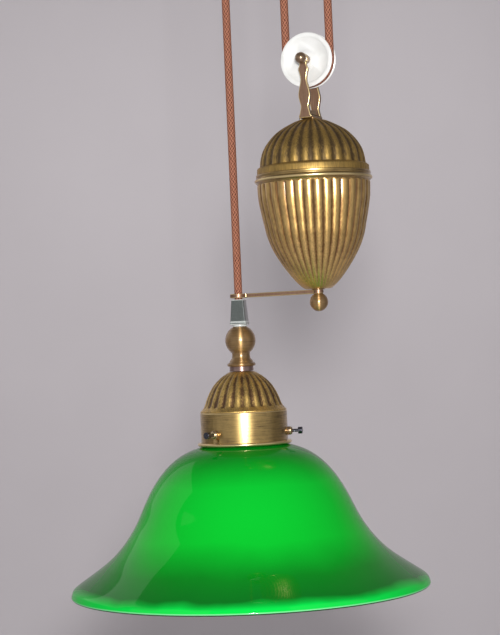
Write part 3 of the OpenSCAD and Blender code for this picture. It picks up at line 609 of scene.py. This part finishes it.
# %% The rib tree
def rib_tree():
    tree = bpy.data.node_groups.new("pressed ribs", "GeometryNodeTree")
    sockets = tree.interface
    sockets.new_socket("Geometry", in_out="INPUT", socket_type="NodeSocketGeometry")
    for name, kind in (("Ribs", "NodeSocketInt"), ("Turn in ribs", "NodeSocketFloat"),
                       ("Crest power", "NodeSocketFloat"), ("Groove depth", "NodeSocketFloat"),
                       ("Axis x", "NodeSocketFloat"), ("Finish", "NodeSocketMaterial")):
        sockets.new_socket(name, in_out="INPUT", socket_type=kind)
    sockets.new_socket("Geometry", in_out="OUTPUT", socket_type="NodeSocketGeometry")
    given = add(tree, "NodeGroupInput").outputs
    axis = add(tree, "ShaderNodeCombineXYZ", {"X": given["Axis x"]})
    place = add(tree, "GeometryNodeInputPosition")
    out = add(tree, "ShaderNodeVectorMath", {0: place, 1: axis}, operation="SUBTRACT")
    flat = add(tree, "ShaderNodeVectorMath", {0: out, 1: (1, 1, 0)}, operation="MULTIPLY")
    way = add(tree, "ShaderNodeVectorMath", {0: flat}, operation="NORMALIZE")
    parts = add(tree, "ShaderNodeSeparateXYZ", {0: flat}).outputs
    angle = add(tree, "ShaderNodeMath", {0: parts["Y"], 1: parts["X"]}, operation="ARCTAN2")
    half = add(tree, "ShaderNodeMath", {0: given["Ribs"], 1: 0.5}, operation="MULTIPLY")
    lead = add(tree, "ShaderNodeMath", {0: given["Turn in ribs"], 1: math.pi}, operation="MULTIPLY")
    turned = add(tree, "ShaderNodeMath", {0: angle, 1: half, 2: lead}, operation="MULTIPLY_ADD")
    wave = add(tree, "ShaderNodeMath", {0: turned}, operation="SINE")
    round_crest = add(tree, "ShaderNodeMath", {0: wave}, operation="ABSOLUTE")
    crest = add(tree, "ShaderNodeMath", {0: round_crest, 1: given["Crest power"]}, operation="POWER")
    dip = add(tree, "ShaderNodeMath", {0: 1.0, 1: crest}, operation="SUBTRACT")
    ribbed = add(tree, "GeometryNodeInputNamedAttribute", {"Name": "ribbed"}, data_type="FLOAT")
    share = add(tree, "ShaderNodeMath", {0: dip, 1: ribbed}, operation="MULTIPLY")
    depth = add(tree, "ShaderNodeMath", {0: share, 1: given["Groove depth"]}, operation="MULTIPLY")
    inward = add(tree, "ShaderNodeMath", {0: depth, 1: -1.0}, operation="MULTIPLY")
    push = add(tree, "ShaderNodeVectorMath", {0: way, "Scale": inward}, operation="SCALE")
    moved = add(tree, "GeometryNodeSetPosition", {"Geometry": given["Geometry"], "Offset": push})
    kept = add(tree, "GeometryNodeStoreNamedAttribute",
               {"Geometry": moved, "Name": "groove", "Value": share}, data_type="FLOAT", domain="POINT")
    real = add(tree, "GeometryNodeRealizeInstances", {0: kept})
    coloured = add(tree, "GeometryNodeSetMaterial", {"Geometry": real, "Material": given["Finish"]})
    add(tree, "NodeGroupOutput", {0: coloured})
    return tree


RIBS = rib_tree()
print("the rib tree has", len(RIBS.nodes), "nodes")


def press_ribs(piece, share, ribs, turn, crest, depth, x, finish):
    """Press ribs into a turned shell. share gives how deep the grooves are along its section."""
    attribute = piece.data.attributes.new("ribbed", "FLOAT", "POINT")
    values = np.tile(np.array(share, np.float32), len(piece.data.vertices) // len(share))
    attribute.data.foreach_set("value", values)
    press = piece.modifiers.new("pressed ribs", "NODES")
    press.node_group = RIBS
    wanted = {"Ribs": ribs, "Turn in ribs": turn, "Crest power": crest, "Groove depth": depth * mm,
              "Axis x": x * mm, "Finish": finish}
    for item in RIBS.interface.items_tree:
        if item.in_out == "INPUT" and item.name in wanted:
            press[item.identifier] = wanted[item.name]
    bpy.context.view_layer.update()
    evaluated = piece.evaluated_get(bpy.context.evaluated_depsgraph_get())
    mesh = bpy.data.meshes.new_from_object(evaluated)
    piece.modifiers.remove(press)
    piece.data = mesh
    return shade_smooth_by_angle(piece, 40)

# %% [markdown]
# Each ribbed shell is a section of three stretches: the ribbed outside, a plain foot, and the
# lining. The share of the groove depth rises from 0 near the pole to 1 on the full ribs. The
# turn says where the ribs begin: at 0.5 a crest points along +X, and at 0 a groove does.

# %% The counterweight's lid and bowl, and the lamp's dome
RIB_DEPTH, SHELL_T = 1.5, 1.3
NARROW_CREST, ROUND_CREST = 1.8, 0.85
STEPS, POINTS_PER_RIB = 8, 10


def points(*pairs):
    return [Vector(p) for p in pairs]


def ribbed_shell(name, node, outer, foot, pole, ribs, turn, crest, x, z, fade, finish):
    """A ribbed shell whose grooves begin at fade[0] from the axis and are full fade[1] further out."""
    line = smooth(outer, STEPS)
    lining = beside(line, -RIB_DEPTH - SHELL_T)[::STEPS]
    share = [min(1.0, max(0.0, (p.x - fade[0]) / fade[1])) for p in line]
    section = line + foot + lining[::-1] + pole
    share += [0.0] * (len(section) - len(line))
    shell = revolve(name, section, x, z, ribs * POINTS_PER_RIB)
    press_ribs(shell, share, ribs, turn, crest, RIB_DEPTH, x, finish)
    stands_for(shell, node)
    print(name, len(shell.data.polygons), "faces")


ribbed_shell(
    "lid_with_ribs", "counterweight_lid",
    [(9, 0), (16, -2.2), (25.5, -6.8), (34.6, -12.6), (42.8, -21.3), (48, -30), (50.3, -38),
     (51.2, -44.5)],
    points((51.6, -45.2), (52.6, -45.5), (53.6, -46.2), (54, -47.4), (54.2, -52.3), (50.4, -52.3)),
    points((3.05, -1.3), (3.05, 0)), 28, 0.5, NARROW_CREST, WEIGHT_X, LID_Z, (9, 10), lid_brass)
ribbed_shell(
    "bowl_with_ribs", "counterweight_bowl",
    [(54.5, -1.2), (54.4, -5), (53.8, -15.2), (51.9, -26.7), (49.5, -38.3), (47, -49.8), (42.8, -61.3),
     (36.5, -72.9), (28.8, -84.4), (22, -93), (16.3, -98.8), (13, -101.2)],
    points((11, -101.7), (3.05, -101.7), (3.05, -100.4), (10, -100.4)),
    points((51.7, 0), (53.9, 0)), 36, 0.0, ROUND_CREST, WEIGHT_X, BOWL_Z, (10, 30), bowl_brass)
ribbed_shell(
    "dome_with_ribs", "lamp_dome",
    [(12.5, -0.5), (19.7, -4.9), (26.4, -10.8), (31.3, -17.4), (34.8, -24.3), (37.2, -30.7),
     (38.4, -33.6)],
    points((39.4, -35.3), (40.8, -37), (42.1, -38.2), (42.1, -38.9), (37, -38.9)),
    points((5.05, -1.3), (5.05, 0)), 24, 0.5, NARROW_CREST, LAMP_X, DOME_Z, (12.5, 10), dome_brass)

# %% [markdown]
# ## Spun, turned and cast pieces
# The other pieces already have their true shape as solids. A merged and smoothed copy with
# slightly rounded edges is all they need, because real edges are never knife sharp and catch a
# thin line of light. The rounded edges of cast brass and nuts get a second, paler brass on the
# bevel's faces: partly wear where they are handled, partly a painted highlight for that line of
# light. The nylon grips' bevels get near-white nylon, a painted highlight. The rolled edges of
# the gallery and the ring get the same paler brass, and their faces are found by their height.

# %% Finish the remaining pieces
FINISHES = {
    band_brass: ["counterweight_ring", "gallery"],
    plain_brass: ["canopy", "ceiling_nipple", "lamp_tube", "canopy_ball_nut"],
    turned_brass: ["neck_ball", "foot_ball_nut", "ceiling_pulley_bush", "counterweight_pulley_bush",
                   "arm_washer", "screw_shell", "centre_contact", "terminal_screws", "lampholder_cap",
                   "lampholder_sleeve"],
    nut_brass: ["ceiling_axle_nuts", "counterweight_axle_nuts", "ceiling_spacers",
                "counterweight_spacers", "ceiling_axle", "counterweight_axle", "gallery_bosses",
                "tie_rod_nut", "tie_rod", "ceiling_fork_nut", "ceiling_fork_stud"],
    collar_brass: ["neck_collar"],
    cast_brass: ["ceiling_fork", "counterweight_fork", "spacer_arm"],
    zinc_steel: ["ceiling_plate", "canopy_bolt", "ceiling_nipple_nut", "gallery_washer",
                 "gallery_locknut"],
    nickel: ["thumb_screw_1", "thumb_screw_2", "thumb_screw_3"],
    cast_iron: ["iron_filling"],
    porcelain: ["ceiling_pulley", "counterweight_pulley"],
    steatite: ["lampholder_insert"],
    grip_nylon: ["ceiling_cord_grip", "lamp_cord_grip"],
    # The grip bases are near-white nylon all over, a painted highlight.
    nylon_painted_highlight: ["ceiling_grip_base", "lamp_grip_base"],
    white_nylon: ["terminal_block"],
    core_pvc: ["supply_wires", "lamp_wires"],
}
HIDDEN = {"ceiling_nipple", "lamp_tube", "centre_contact", "terminal_screws", "ceiling_plate",
          "canopy_bolt", "ceiling_nipple_nut", "gallery_washer", "gallery_locknut", "iron_filling",
          "lampholder_insert", "supply_wires", "lamp_wires"}
BEVELS = {0.9: ["ceiling_fork", "counterweight_fork"],
          0.8: ["ceiling_cord_grip", "lamp_cord_grip"],
          0.6: ["spacer_arm"],
          0.5: ["ceiling_grip_base", "lamp_grip_base"],
          0.4: ["gallery_bosses", "terminal_block"],
          0.3: ["neck_collar", "thumb_screw_1", "thumb_screw_2", "thumb_screw_3"],
          0.2: ["canopy"]}
BEVEL_OF = {name: size for size, names in BEVELS.items() for name in names}
# Second material on the bevel faces: paler brass, partly wear and partly painted highlight, and
# near-white nylon, a painted highlight.
EDGE_WEAR_AND_HIGHLIGHT = {cast_brass: edge_brass_worn_and_highlit, nut_brass: edge_brass_worn_and_highlit, grip_nylon: nylon_painted_highlight}
# The rolled edges take the paler brass too: partly polish, partly a painted highlight.
ROLLED_EDGES = {"gallery": [(DOME_Z - 40.4, DOME_Z - 38.6), (GLASS_Z, GLASS_Z + 3.6)],
                "counterweight_ring": [(LID_Z - 59.4, LID_Z - 57.4)]}


def finish_copy(name, finish):
    """Put a rounded copy in place of a solid, with paler faces on its worn and rolled edges that are
    partly a painted highlight.
    """
    piece = refine(name, BEVEL_OF.get(name, 0.0))
    stands_for(piece, name, finish=finish)
    if name in BEVEL_OF and finish in EDGE_WEAR_AND_HIGHLIGHT:
        piece.data.materials.append(EDGE_WEAR_AND_HIGHLIGHT[finish])
        piece.modifiers[0].material = 1
    if name in ROLLED_EDGES:
        piece.data.materials.append(edge_brass_worn_and_highlit)
        for face in piece.data.polygons:
            if any(low < face.center.z / mm < high for low, high in ROLLED_EDGES[name]):
                face.material_index = 1


def paint_node(name, finish):
    """Give a solid itself a material."""
    nodes[name].data.materials.clear()
    nodes[name].data.materials.append(finish)


for finish, names in FINISHES.items():
    for name in names:
        if name in HIDDEN:
            paint_node(name, finish)
        else:
            finish_copy(name, finish)
for name in nodes:
    if name.startswith("cord_"):
        paint_node(name, cord_braid)
print(sum(map(len, FINISHES.values())) - len(HIDDEN), "solids have a finished copy")

# %% [markdown]
# ## The studio
# A pale paper sweep stands behind and below the lamp. The paper is one-sided: seen from behind
# it is clear, so a camera may go round the lamp. Beyond the paper, the world looks just as
# pale to the camera, but it lights the scene as a weaker, even grey.

# %% Floor and backdrop
def sweep_floor():
    half, front, back, bend, low, top = 3.0, -3.5, 1.3, 0.8, -1.6, 2.6
    line = [(front, low), (back - bend, low)]
    line += [(back - bend + bend * math.sin(a), low + bend - bend * math.cos(a))
             for a in (math.radians(6 * k) for k in range(1, 15))]
    line += [(back, low + bend), (back, top)]
    turn = Matrix.Rotation(math.radians(AZIMUTH), 4, "Z")
    verts = [turn @ Vector((side * half, y, z)) for y, z in line for side in (-1, 1)]
    faces = [(2 * i, 2 * i + 1, 2 * i + 3, 2 * i + 2) for i in range(len(line) - 1)]
    mesh = bpy.data.meshes.new("backdrop")
    mesh.from_pydata(verts, [], faces)
    mesh.shade_smooth()
    made = bpy.data.objects.new("backdrop", mesh)
    bpy.context.scene.collection.objects.link(made)
    return made


MOTTLES_PER_METRE = 4.0
wall_paper, tree, surface = material("matt_studio_paper")
place = add(tree, "ShaderNodeTexCoord").outputs["Object"]
fibres = add(tree, "ShaderNodeTexNoise", {"Vector": place, "Scale": MOTTLES_PER_METRE, "Detail": 3.0})
grey = add(tree, "ShaderNodeValToRGB", {"Fac": fibres}, stops=[(0.2, "#c6c0c3"), (0.8, "#cbc5c8")])
feed(surface, {"Base Color": grey, "Roughness": 0.95})
back_face = add(tree, "ShaderNodeNewGeometry").outputs["Backfacing"]
clear = add(tree, "ShaderNodeBsdfTransparent")
one_sided = add(tree, "ShaderNodeMixShader", {0: back_face, 1: surface, 2: clear})
feed(tree.nodes["Material Output"], {0: one_sided})
backdrop = sweep_floor()
backdrop.data.materials.append(wall_paper)

world = bpy.data.worlds.new("even grey")
bpy.context.scene.world = world
world.use_nodes = True
tree = world.node_tree
tree.nodes.clear()
soft_light = add(tree, "ShaderNodeBackground", {"Color": paint("#b8b6ba"), "Strength": 0.28})
pale_ground = add(tree, "ShaderNodeBackground", {"Color": paint("#b4aeb2"), "Strength": 1.0})
seen = add(tree, "ShaderNodeLightPath").outputs["Is Camera Ray"]
either = add(tree, "ShaderNodeMixShader", {0: seen, 1: soft_light, 2: pale_ground})
add(tree, "ShaderNodeOutputWorld", {0: either})
print("backdrop faces", len(backdrop.data.polygons))

# %% [markdown]
# A small, strong panel beside the camera acts as the flash. It puts the narrow upright
# highlight on the band, the ball and the ribs. Two wide, weak panels fill the sides. A high
# panel far to the left stands for a window, and its reflection is the pale streak on the
# shade. The last one lights the paper.

# %% Lights
MIDDLE = Vector((0, 0, -0.6))
WALL_SPOT = MIDDLE + Vector((-math.sin(azimuth), math.cos(azimuth), 0)) * 1.3


def panel(name, azimuth_deg, elevation_deg, distance, width, height, watts, aim=MIDDLE, spread_deg=180):
    """A rectangular area light at a direction and distance from the point that it lights."""
    a, e = math.radians(azimuth_deg), math.radians(elevation_deg)
    way = Vector((math.sin(a) * math.cos(e), -math.cos(a) * math.cos(e), math.sin(e)))
    light = bpy.data.lights.new(name, "AREA")
    light.shape, light.size, light.size_y = "RECTANGLE", width, height
    light.energy, light.spread = watts, math.radians(spread_deg)
    made = bpy.data.objects.new(name, light)
    bpy.context.scene.collection.objects.link(made)
    made.location = aim + way * distance
    made.rotation_euler = (-way).to_track_quat("-Z", "Y").to_euler()
    made.visible_camera = False
    return made


panel("flash", AZIMUTH, 3, 1.8, 0.2, 0.2, 30)
panel("window", AZIMUTH - 115, 22, 1.4, 1.3, 0.9, 1.5)
panel("left_fill", AZIMUTH - 55, 5, 2.4, 2.4, 2.4, 5.5)
panel("right_fill", AZIMUTH + 50, 5, 2.4, 2.4, 2.4, 5)
panel("wall_panel", AZIMUTH, 35, 1.1, 1.6, 0.8, 2.2, WALL_SPOT, 110)
print(len(bpy.data.lights), "panels")
